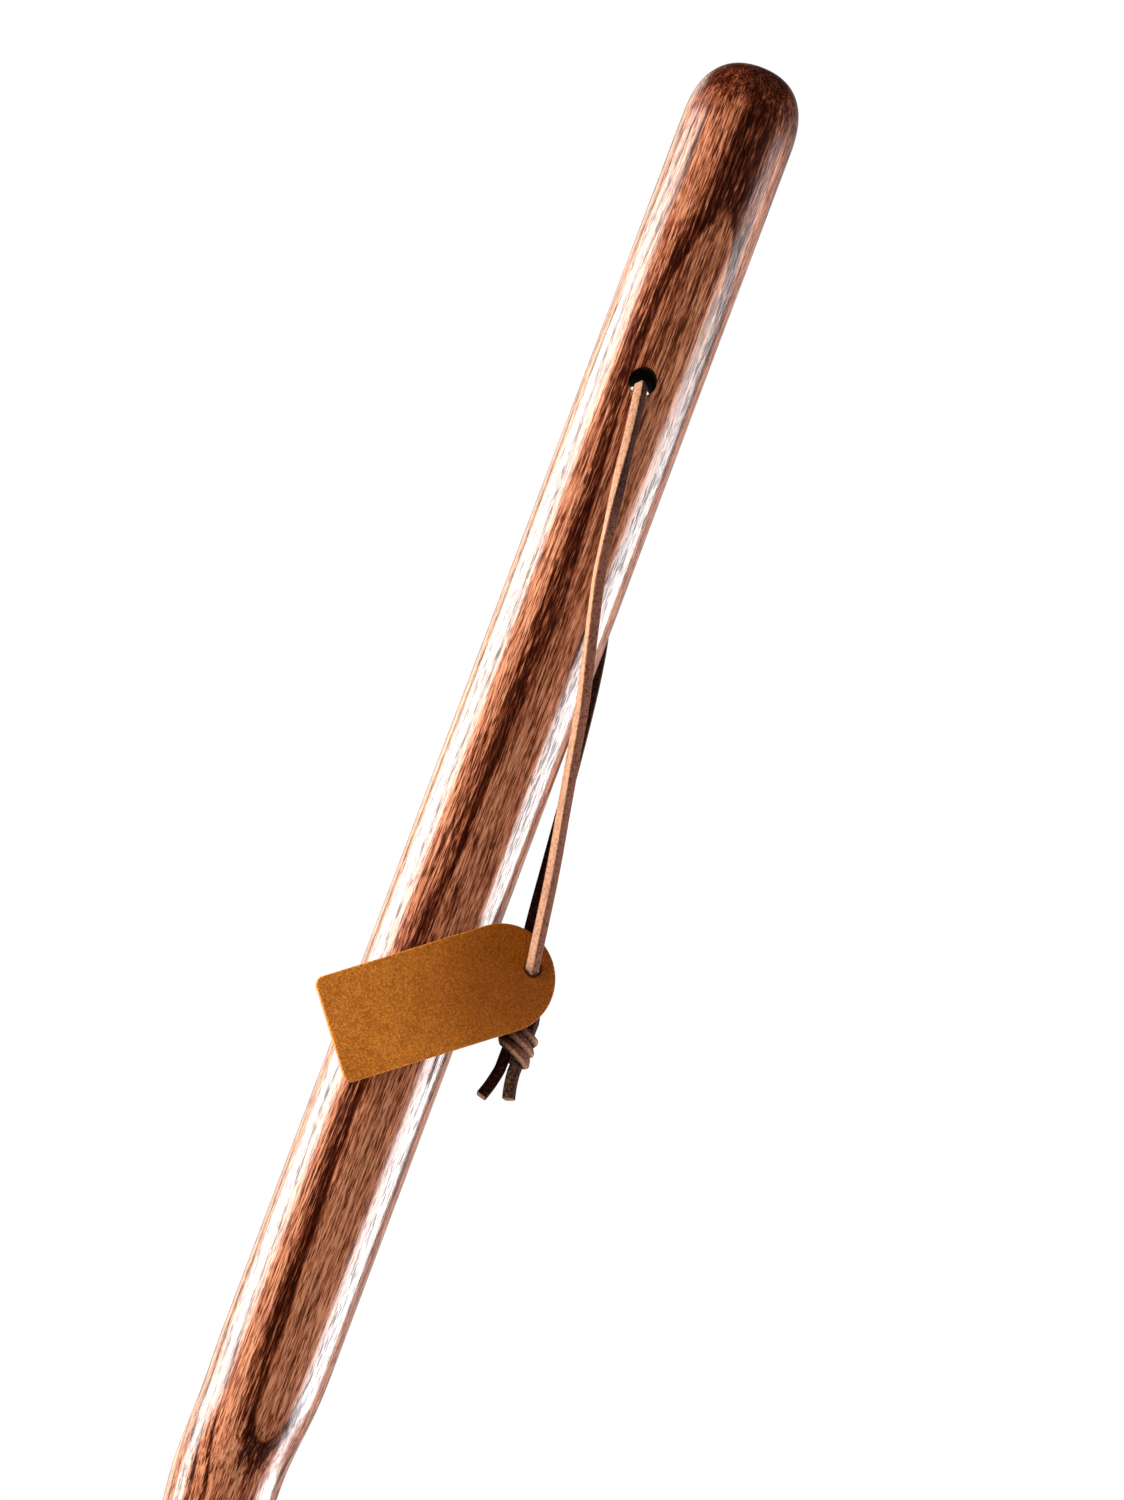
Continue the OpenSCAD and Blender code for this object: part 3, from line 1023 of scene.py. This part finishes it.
@dataclass(frozen=True)
class Lace:
    """A length of square lace with its corners worn round; each table goes by its run in millimetres.

    The lean is the section's side vector at the start, and the turns, in degrees, are about the line. The
    soil_and_shade table holds soil and painted shade. The shade is painted shade on one side only, and
    fades in across the section.
    """

    lean: Point
    turns: Table = ((0.0, 0.0),)
    soil_and_shade: Table = ((0.0, 0.0),)
    shade: Table = ((0.0, 0.0),)
    shade_from: float = 0.5
    shade_fade: float = 0.4
    half: float = 1.6
    corner: float = 0.6
    corner_steps: int = 3
    end_run: float = 0.25
    end_share: float = 0.86
    sharp: float = 60.0

    def soil_and_shade_at(self, run: float, across: float) -> float:
        """Soil and painted shade on the lace, from 0 to 1, at a place along it and across it from -1 to 1."""
        shade = between(self.shade, run) * smooth((across - self.shade_from) / self.shade_fade)
        return max(between(self.soil_and_shade, run), shade)

    def frames(self, line: Sequence[Vector]) -> list[Matrix]:
        """Places along a line with the side vector carried along it.

        Args:
            line: Points in millimetres.

        Returns:
            A matrix a point, in metres, whose X is the side vector and whose Z runs along the line.
        """
        frames, side, run = [], Vector(self.lean), 0.0
        for i, dot in enumerate(line):
            run += (dot - line[max(i - 1, 0)]).length
            ahead = (line[min(i + 1, len(line) - 1)] - line[max(i - 1, 0)]).normalized()
            side = (side - side.dot(ahead) * ahead).normalized()
            turn = Matrix((side, ahead.cross(side), ahead)).transposed().to_4x4()
            frames.append(Matrix.Translation(dot * MM) @ turn @ rotation(between(self.turns, run), "Z"))
        return frames

    def sweep(self, line: Sequence[Vector]) -> bmesh.types.BMesh:
        """Sweeps the section along a line.

        Args:
            line: Points in millimetres.

        Returns:
            The lace, closed at its ends, with along, side, soil_and_shade and fresh stored on its points.
        """
        shape = bmesh.new()
        layers = shape.verts.layers.float
        along, across, fresh, soil_and_shade = (layers.new(name) for name in ("along", "side", "fresh", "soil_and_shade"))
        bmesh.ops.create_grid(shape, x_segments=1, y_segments=1, size=self.half * MM)
        bmesh.ops.bevel(
            shape, geom=shape.verts[:], offset=self.corner * MM, affect="VERTICES",
            segments=self.corner_steps, profile=BEVEL_PROFILE, material=KEEP_MATERIAL,
        )
        for dot in shape.verts:
            dot[across] = dot.co.x / (self.half * MM)
            dot[soil_and_shade] = self.soil_and_shade_at(0.0, dot[across])
        frames = self.frames(line)
        bmesh.ops.transform(shape, matrix=frames[0], verts=shape.verts[:])
        ring, run = shape.edges[:], 0.0
        for i in range(1, len(frames)):
            run += (line[i] - line[i - 1]).length
            dots, ring = pull_on(shape, ring)
            bmesh.ops.transform(shape, matrix=frames[i] @ frames[i - 1].inverted(), verts=dots)
            for dot in dots:
                dot[along] = run
                dot[soil_and_shade] = self.soil_and_shade_at(run, dot[across])
        dots, ring = pull_on(shape, ring)
        ease = Matrix.Diagonal((self.end_share, self.end_share, 1.0, 1.0))
        ease = frames[-1] @ Matrix.Translation((0.0, 0.0, self.end_run * MM)) @ ease
        bmesh.ops.transform(shape, matrix=ease @ frames[-1].inverted(), verts=dots)
        for dot in dots:
            dot[fresh] = 1.0
        bmesh.ops.edgeloop_fill(shape, edges=ring)
        bmesh.ops.recalc_face_normals(shape, faces=shape.faces[:])
        return shape


@dataclass
class Lanyard:
    """The leather lace: two strands out of the bore, the knot that ties them, and their cut tails.

    The routes go right, out from the lace's seat on the shaft and down from the bore. The tails go on from
    the knot's underside. The wrapping is the knot's turns round both strands.
    """

    cord_diameter: float = 0.0036
    handle_r: float = 16.9
    bore_z: float = 1296.0
    bore_sag: float = 1.713
    bore_run: float = 8.325
    seat: float = 1.887
    knot: Point = (33.1, -5.6, -185.5)
    knot_l: float = 12.5
    knot_spread: float = 4.0
    knot_run: float = 2.5
    step: float = 1.1
    wrap_rise: float = 0.7
    wrap_turns: float = 2.6
    wrap_start: float = 0.2
    wrap_pitch: float = 3.2
    wrap_wide: float = 3.9
    wrap_deep: float = 3.6
    wrap_slope: float = -0.34
    wrap_tuck: float = 0.07
    wrap_core: float = 0.25
    wrap_dots: int = 80
    front_lace: Lace = Lace(
        (1.0, 0.0, 1.0),
        ((0.0, 0.0), (34.0, 0.0), (66.0, 42.0), (95.0, 38.0), (125.0, 20.0), (160.0, 10.0)),
        ((0.0, 0.3), (22.0, 0.0), (186.0, 0.0), (200.0, 0.88)),
        # Painted shade, partly soil: the right side is darkened near the top, away from the light from the
        # left.
        ((0.0, 0.9), (46.0, 0.85), (70.0, 0.0)),
    )
    back_lace: Lace = Lace(
        (1.0, 0.0, -1.0),
        ((0.0, 0.0), (30.0, 0.0), (62.0, 45.0)),
        # Painted shade: the back strand, hanging behind the shaft, is darkened all along.
        ((0.0, 1.0), (80.0, 0.82), (135.0, 0.84), (170.0, 1.0)),
    )
    knot_lace: Lace = Lace(
        (0.0, 0.0, -1.0),
        # Painted shade over a light soil: each turn is darkened on its side towards the shaft.
        soil_and_shade=((0.0, 0.3), (4.7, 0.2), (16.5, 0.95), (28.0, 0.2), (40.0, 0.95), (51.6, 0.2), (61.0, 0.7)),
        # Painted shade on the lower edge of each turn.
        shade=((0.0, 1.0),),
        shade_from=0.0,
        corner=1.0,
    )
    front_route: tuple[Point, ...] = (
        (0, -2.8, 1.7), (0, -1.2, 1.9), (0.2, 0.4, 3), (0.5, 0.8, 5.2), (1, 0.3, 8.5), (2, 0.1, 16),
        (3.2, 0.1, 26), (4.7, 0, 36), (6.2, 0, 46), (7.8, -0.1, 57), (10, -0.2, 67), (12.4, -0.3, 77),
        (14.8, -0.4, 87), (17, -0.6, 97), (18.8, -0.8, 107), (20.7, -1, 117), (22.5, -1.2, 127),
        (24.4, -1.3, 137), (26.1, -1.5, 147), (27.6, -1.6, 157), (28.7, -1.7, 164.5), (29.2, -1.8, 167.4),
        (29.4, -2.5, 169.2), (29.6, -4.2, 170), (29.6, -6.3, 170), (29.7, -8, 170.8), (30, -8.7, 172.5),
        (31.5, -9.8, 176.5), (34, -11.6, 180.5),
    )
    back_route: tuple[Point, ...] = (
        (0, -2.8, 1.7), (0, -1.2, 1.9), (0.2, 0.4, 3), (0.6, 0.8, 5.2), (1.4, 0.3, 9), (3.2, 0.1, 20),
        (5.6, -0.3, 31), (8.2, -1.2, 42), (10.8, -2.6, 52), (13.3, -4.5, 61.5), (15.6, -6.8, 71),
        (17.3, -8.9, 81), (18.6, -10.8, 91), (19.7, -12.5, 101), (20.7, -14, 111), (21.6, -15.4, 121),
        (22.5, -16.7, 131), (23.4, -18, 141), (24.3, -19.2, 151), (25.4, -20.5, 161), (27.2, -22, 171),
        (29.3, -23.4, 178),
    )
    front_tail: tuple[Point, ...] = (
        (0, 0, 0), (0, 0, -1), (0.2, -0.1, -3), (0.7, -0.3, -6), (1.3, -0.6, -8.5),
    )
    back_tail: tuple[Point, ...] = (
        (0, 0, 0), (0, 0, -1), (-0.3, -0.2, -3), (-1.2, -0.6, -7), (-2.3, -1.2, -10.5),
    )

    def route(self, side: Side) -> list[Vector]:
        """The strand's line from the middle of the bore, through the knot, to the end of its tail.

        Args:
            side: Which strand.

        Returns:
            Points a step apart, in millimetres.
        """
        way = float(side.value)
        front = side is Side.FRONT
        end_x = self.knot[0] - way * self.knot_spread / 2
        knot_y, knot_z = self.knot[1], self.bore_z + self.knot[2]
        dots = [Vector((0.0, way * y, self.bore_z - self.bore_sag)) for y in (0.0, self.bore_run)]
        for right, out, down in self.front_route if front else self.back_route:
            dots.append(Vector((right, way * (self.handle_r + self.seat + out), self.bore_z - down)))
        dots += [Vector((end_x, knot_y, knot_z + up)) for up in (self.knot_run, 0.0, -self.knot_l / 2)]
        for dx, dy, dz in self.front_tail if front else self.back_tail:
            dots.append(Vector((end_x + dx, knot_y + dy, knot_z - self.knot_l + dz)))
        return even_line(dots, self.step)

    def wrapping(self) -> list[Vector]:
        """Line of the turns that hold the two strands together.

        Returns:
            Points a step apart, in millimetres.
        """
        x, y, z = self.knot
        middle = Vector((x, y, self.bore_z + z - self.knot_l / 2 + self.wrap_rise))
        dots = []
        for i in range(self.wrap_dots + 1):
            t = i / self.wrap_dots
            angle = FULL_TURN * (self.wrap_turns * t - self.wrap_start)
            out = self.wrap_core + (1.0 - self.wrap_core) * smooth(min(t, 1.0 - t) / self.wrap_tuck)
            x, y = self.wrap_wide * out * math.cos(angle), self.wrap_deep * out * math.sin(angle)
            up = self.wrap_pitch * self.wrap_turns * (0.5 - t) + self.wrap_slope * x
            dots.append(middle + Vector((x, y, up)))
        return even_line(dots, self.step)

    def build(self, material: bpy.types.Material) -> tuple[list[bpy.types.Object], bpy.types.Object]:
        """Builds the strands and the knot, and lets them ride on the lanyard's body.

        Args:
            material: The lace's leather.

        Returns:
            The two strands, front first, and the knot.
        """
        strands = []
        for side, lace in zip(Side, (self.front_lace, self.back_lace)):
            name = side.name.lower()
            strand = put_down(f"lace_strand_{name}", lace.sweep(self.route(side)), material, lace.sharp)
            strands.append(settle(strand, Body.LANYARD, Slot.LACE, f"lace_{name}", f"lace_tail_{name}"))
        wrap = self.knot_lace.sweep(self.wrapping())
        knot = put_down("lace_wrapping", wrap, material, self.knot_lace.sharp)
        return strands, settle(knot, Body.LANYARD, Slot.LACE, "lace_knot")

    def declare(self, strands: Sequence[bpy.types.Object]) -> None:
        """Reports the length of each strand's line.

        Args:
            strands: Front and back strand.
        """
        for side, strand in zip(Side, strands):
            line = [dot * MM for dot in self.route(side)]
            length = sum((b - a).length for a, b in zip(line, line[1:]))
            LOG.info("%s: cord of %.0f mm", strand.name, length / MM)


def even_line(dots: Sequence[Vector], step: float) -> list[Vector]:
    """A smooth line through points, cut into even steps.

    Args:
        dots: Points that the line passes through, no two of them alike.
        step: Spacing of the points that are given back.

    Returns:
        Points along the line, from the first to the last.
    """
    ends = [2 * dots[0] - dots[1], *dots, 2 * dots[-1] - dots[-2]]
    fine: list[Vector] = []
    for p0, p1, p2, p3 in zip(ends, ends[1:], ends[2:], ends[3:]):
        t1 = (p1 - p0).length ** CENTRIPETAL
        t2 = t1 + (p2 - p1).length ** CENTRIPETAL
        t3 = t2 + (p3 - p2).length ** CENTRIPETAL
        for i in range(CURVE_CUTS):
            t = t1 + (t2 - t1) * i / CURVE_CUTS
            a1 = p0.lerp(p1, t / t1)
            a2 = p1.lerp(p2, (t - t1) / (t2 - t1))
            a3 = p2.lerp(p3, (t - t2) / (t3 - t2))
            b1 = a1.lerp(a2, t / t2)
            b2 = a2.lerp(a3, (t - t1) / (t3 - t1))
            fine.append(b1.lerp(b2, (t - t1) / (t2 - t1)))
    fine.append(dots[-1].copy())
    total = sum((b - a).length for a, b in zip(fine, fine[1:]))
    count = max(2, round(total / step))
    line, run, i = [fine[0].copy()], 0.0, 0
    for k in range(1, count):
        goal = total * k / count
        while run + (fine[i + 1] - fine[i]).length < goal:
            run += (fine[i + 1] - fine[i]).length
            i += 1
        line.append(fine[i].lerp(fine[i + 1], (goal - run) / (fine[i + 1] - fine[i]).length))
    line.append(fine[-1].copy())
    return line


def between(table: Table, at: float) -> float:
    """The value of a table, eased between its places.

    Args:
        table: Places, in order, with their values.
        at: Place that is looked up.

    Returns:
        The value there; past the last place, the last value.
    """
    for (a, low), (b, high) in zip(table, table[1:]):
        if at < b:
            return low + (high - low) * smooth((at - a) / (b - a))
    return table[-1][1]


def rotation(degrees: float, axis: str) -> Matrix:
    """A turn about an axis."""
    return Matrix.Rotation(math.radians(degrees), 4, axis)


def pull_on(
    shape: bmesh.types.BMesh, ring: Sequence[bmesh.types.BMEdge]
) -> tuple[list[bmesh.types.BMVert], list[bmesh.types.BMEdge]]:
    """Extrudes a ring of edges in place.

    Args:
        shape: The mesh.
        ring: Edges of the ring.

    Returns:
        The new ring's points and edges.
    """
    made = bmesh.ops.extrude_edge_only(shape, edges=ring)["geom"]
    dots = [g for g in made if isinstance(g, bmesh.types.BMVert)]
    there = set(dots)
    lines = [g for g in made if isinstance(g, bmesh.types.BMEdge) and set(g.verts) <= there]
    return dots, lines


@dataclass
class Tag:
    """The leather tag on the front strand; its round nose is the end with the hole."""

    length: float = 68.0
    width: float = 31.4
    thickness: float = 2.2
    corner_r: float = 2.5
    hole_r: float = 2.15
    hole_inset: float = 6.2
    turn: float = 10.0
    dip: float = 38.5
    hole: Point = (29.6, -13.4661, 1126.0)
    edge_round: float = 0.5
    edge_inset: float = 0.35
    edge_from: float = 0.55
    edge_fade: float = 0.4
    nose_slack: float = 0.01
    same_dot: float = 0.1
    nose_steps: int = 20
    corner_steps: int = 6
    hole_steps: int = 40
    edge_steps: int = 4
    rim_angle: float = 1.0
    flat: float = 0.999

    def blank(self) -> bmesh.types.BMesh:
        """The tag lying flat, cut out and punched, with its hole at the origin.

        Returns:
            The tag's mesh, with sharp edges.
        """
        shape = bmesh.new()
        bmesh.ops.create_grid(shape, x_segments=1, y_segments=1, size=0.5)
        bmesh.ops.scale(shape, vec=(self.length * MM, self.width * MM, 1.0), verts=shape.verts[:])
        middle = (self.length / 2 - self.hole_inset) * MM
        bmesh.ops.translate(shape, vec=(middle, 0.0, 0.0), verts=shape.verts[:])
        nose = [v for v in shape.verts if v.co.x < middle]
        heel = [v for v in shape.verts if v.co.x > middle]
        nose_r = self.width / 2 - self.nose_slack
        ends = ((nose, nose_r, self.nose_steps), (heel, self.corner_r, self.corner_steps))
        for dots, radius, steps in ends:
            bmesh.ops.bevel(
                shape, geom=dots, offset=radius * MM, affect="VERTICES", segments=steps,
                profile=BEVEL_PROFILE, material=KEEP_MATERIAL,
            )
        bmesh.ops.delete(shape, geom=shape.faces[:], context="FACES_ONLY")
        bmesh.ops.remove_doubles(shape, verts=shape.verts[:], dist=self.same_dot * MM)
        bmesh.ops.create_circle(shape, radius=self.hole_r * MM, segments=self.hole_steps)
        bmesh.ops.triangle_fill(shape, edges=shape.edges[:], use_beauty=True, normal=UP)
        made = bmesh.ops.extrude_face_region(shape, geom=shape.faces[:])["geom"]
        top = [g for g in made if isinstance(g, bmesh.types.BMVert)]
        bmesh.ops.translate(shape, vec=(0.0, 0.0, self.thickness * MM), verts=top)
        bmesh.ops.translate(shape, vec=(0.0, 0.0, -self.thickness / 2 * MM), verts=shape.verts[:])
        bmesh.ops.recalc_face_normals(shape, faces=shape.faces[:])
        return shape

    def build(self, material: bpy.types.Material) -> bpy.types.Object:
        """Builds the tag, rounds its edges, stores where they are and hangs it on the strand.

        Args:
            material: Its leather.

        Returns:
            The tag, riding on its body.
        """
        shape = self.blank()
        rims = [e for e in shape.edges if e.calc_face_angle(0.0) > self.rim_angle]
        bmesh.ops.bevel(
            shape, geom=rims, offset=self.edge_round * MM, affect="EDGES", segments=self.edge_steps,
            profile=BEVEL_PROFILE, material=KEEP_MATERIAL,
        )
        for way in (1.0, -1.0):
            flats = [f for f in shape.faces if f.normal.z * way > self.flat]
            bmesh.ops.inset_region(
                shape, faces=flats, thickness=self.edge_inset * MM, use_even_offset=True, use_boundary=True
            )
        edge = shape.verts.layers.float.new("edge")
        for dot in shape.verts:
            dot[edge] = 1.0 - smooth((abs(dot.co.z) / MM - self.edge_from) / self.edge_fade)
        place = Matrix.Translation(Vector(self.hole) * MM) @ rotation(self.turn, "Z")
        place = place @ rotation(QUARTER, "X") @ rotation(2.0 * QUARTER + self.dip, "Z")
        bmesh.ops.transform(shape, matrix=place, verts=shape.verts[:])
        return settle(put_down("hang_tag", shape, material), Body.TAG, Slot.TAG, "leather_tag")


@dataclass(frozen=True)
class Lamp:
    """A soft lamp that stands round the staff and faces it, in metres and watts."""

    name: str
    azimuth: float
    distance: float
    height: float
    size: Span
    power: float
    colour: Colour
    reach: Reach
    aim: float = 1.2

    def put_up(self) -> None:
        """Adds the lamp to the scene."""
        light = bpy.data.lights.new(self.name, "AREA")
        light.shape = "RECTANGLE"
        light.size, light.size_y = self.size
        light.energy = self.power
        light.color = self.colour
        lamp = bpy.data.objects.new(self.name, light)
        turn = math.radians(self.azimuth)
        lamp.location = (math.sin(turn) * self.distance, -math.cos(turn) * self.distance, self.height)
        aim = Vector((0.0, 0.0, self.aim)) - lamp.location
        lamp.rotation_euler = aim.to_track_quat("-Z", "Y").to_euler()
        lamp.visible_camera = False
        lamp.visible_diffuse = self.reach is Reach.COLOUR
        lamp.visible_glossy = self.reach is Reach.GLOSS
        bpy.context.scene.collection.objects.link(lamp)


@dataclass
class Studio:
    """Camera, floor, lamps and the white round about.

    The camera's sizes are in millimetres, the floor's in metres. Gloss sees the world less bright in front
    of the staff than low down behind it.
    """

    centre: Span = (15.54, 1190.1)
    frame_h: float = 430.6
    lean: float = 20.65
    away: float = 4000.0
    sensor: float = 36.0
    clip: Span = (0.05, 100.0)
    rise: float = 8.5
    floor_r: float = 3.0
    floor_gap: float = 0.0002
    floor_facets: int = 96
    fill: float = 0.42
    gloss: Span = (0.04, 0.55)
    behind: Span = (-0.5, 0.5)
    low_down: Span = (0.7, 0.15)
    lamps: tuple[Lamp, ...] = (
        Lamp("left_strip", -99.0, 1.6, 1.40, (1.5, 0.52), 43.0, (1.0, 0.985, 0.96), Reach.GLOSS),
        Lamp("left_low_strip", -97.0, 1.6, 0.86, (0.75, 0.58), 21.0, (1.0, 0.985, 0.96), Reach.GLOSS),
        Lamp("left_rim", -142.0, 1.6, 1.3, (0.9, 1.6), 11.3, (1.0, 0.8, 0.62), Reach.GLOSS),
        Lamp("right_strip", 98.0, 1.6, 1.3, (1.3, 0.58), 45.0, (1.0, 0.965, 0.965), Reach.GLOSS),
        Lamp("right_low_strip", 99.0, 1.6, 0.86, (0.6, 0.58), 15.0, (0.97, 0.95, 1.0), Reach.GLOSS),
        Lamp("left_bank", -88.0, 1.8, 1.35, (0.9, 1.4), 74.0, (1.0, 0.95, 0.88), Reach.COLOUR),
        Lamp("right_bank", 100.0, 1.8, 1.35, (0.9, 1.4), 34.0, (1.0, 0.95, 0.93), Reach.COLOUR),
        Lamp("key", -48.0, 2.0, 1.5, (0.6, 1.2), 22.0, (1.0, 0.97, 0.94), Reach.COLOUR),
    )

    def camera(self) -> None:
        """Sets the camera in front, below the handle, leaned so that the staff lies aslant in the frame."""
        lens = bpy.data.cameras.new("camera")
        lens.sensor_width = self.sensor
        lens.lens = self.sensor * self.away / self.frame_h
        lens.clip_start, lens.clip_end = self.clip
        camera = bpy.data.objects.new("camera", lens)
        turn, rise = math.radians(self.lean), math.radians(self.rise)
        level = Vector((1.0, 0.0, 0.0))
        back = Vector((0.0, -math.cos(rise), -math.sin(rise)))
        upward = back.cross(level)
        right = math.cos(turn) * level + math.sin(turn) * upward
        facing = Matrix((right, back.cross(right), back)).transposed().to_4x4()
        aim = Vector((self.centre[0], 0.0, self.centre[1]))
        camera.matrix_world = Matrix.Translation((aim + self.away * back) * MM) @ facing
        bpy.context.scene.collection.objects.link(camera)
        bpy.context.scene.camera = camera

    def surroundings(self) -> None:
        """White for the rays that see it, a dimmer world for gloss, an even fill for everything else."""
        world = bpy.data.worlds.new("white_studio")
        world.use_nodes = True
        bpy.context.scene.world = world
        board = Board(world.node_tree)
        camera, gloss, glass = board.outputs("ShaderNodeLightPath", RAYS)
        seen = camera.larger(glass)
        _, y, z = board.split(board.node("ShaderNodeTexCoord", out="Generated"))
        dimmed = (y.step(*self.behind) * z.step(*self.low_down)).spread(*self.gloss)
        strength = seen.larger(gloss * dimmed) + (1.0 - seen.larger(gloss)) * self.fill
        shader = board.node("ShaderNodeBackground", sockets={"Color": solid(WHITE), "Strength": strength})
        board.output(shader, "ShaderNodeOutputWorld")

    def floor(self) -> None:
        """Lays the floor under the sole."""
        shape = bmesh.new()
        bmesh.ops.create_circle(
            shape, cap_ends=True, cap_tris=True, segments=self.floor_facets, radius=self.floor_r
        )
        bmesh.ops.translate(shape, vec=(0.0, 0.0, -self.floor_gap), verts=shape.verts[:])
        put_down("floor", shape, FloorFinish().make())

    def build(self) -> None:
        """Sets up the whole studio."""
        self.camera()
        self.surroundings()
        self.floor()
        for lamp in self.lamps:
            lamp.put_up()
        bpy.context.scene.view_settings.view_transform = "Standard"


def main() -> None:
    """Builds the staff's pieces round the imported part."""
    logging.basicConfig(level=logging.INFO, format="%(name)s: %(message)s")
    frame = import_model()
    Studio().build()
    lanyard = Lanyard()
    strands, knot = lanyard.build(LaceFinish().make())
    tag_sizes = Tag()
    tag = tag_sizes.build(TagFinish(hole=tag_sizes.hole).make())
    lanyard.declare(strands)
    Shaft().build(OakFinish().make(), BoreFinish().make())
    Tip().build(RubberFinish().make(), SteelFinish().make(), frame["nodes"]["tip_washer"])


if __name__ == "__main__":
    main()
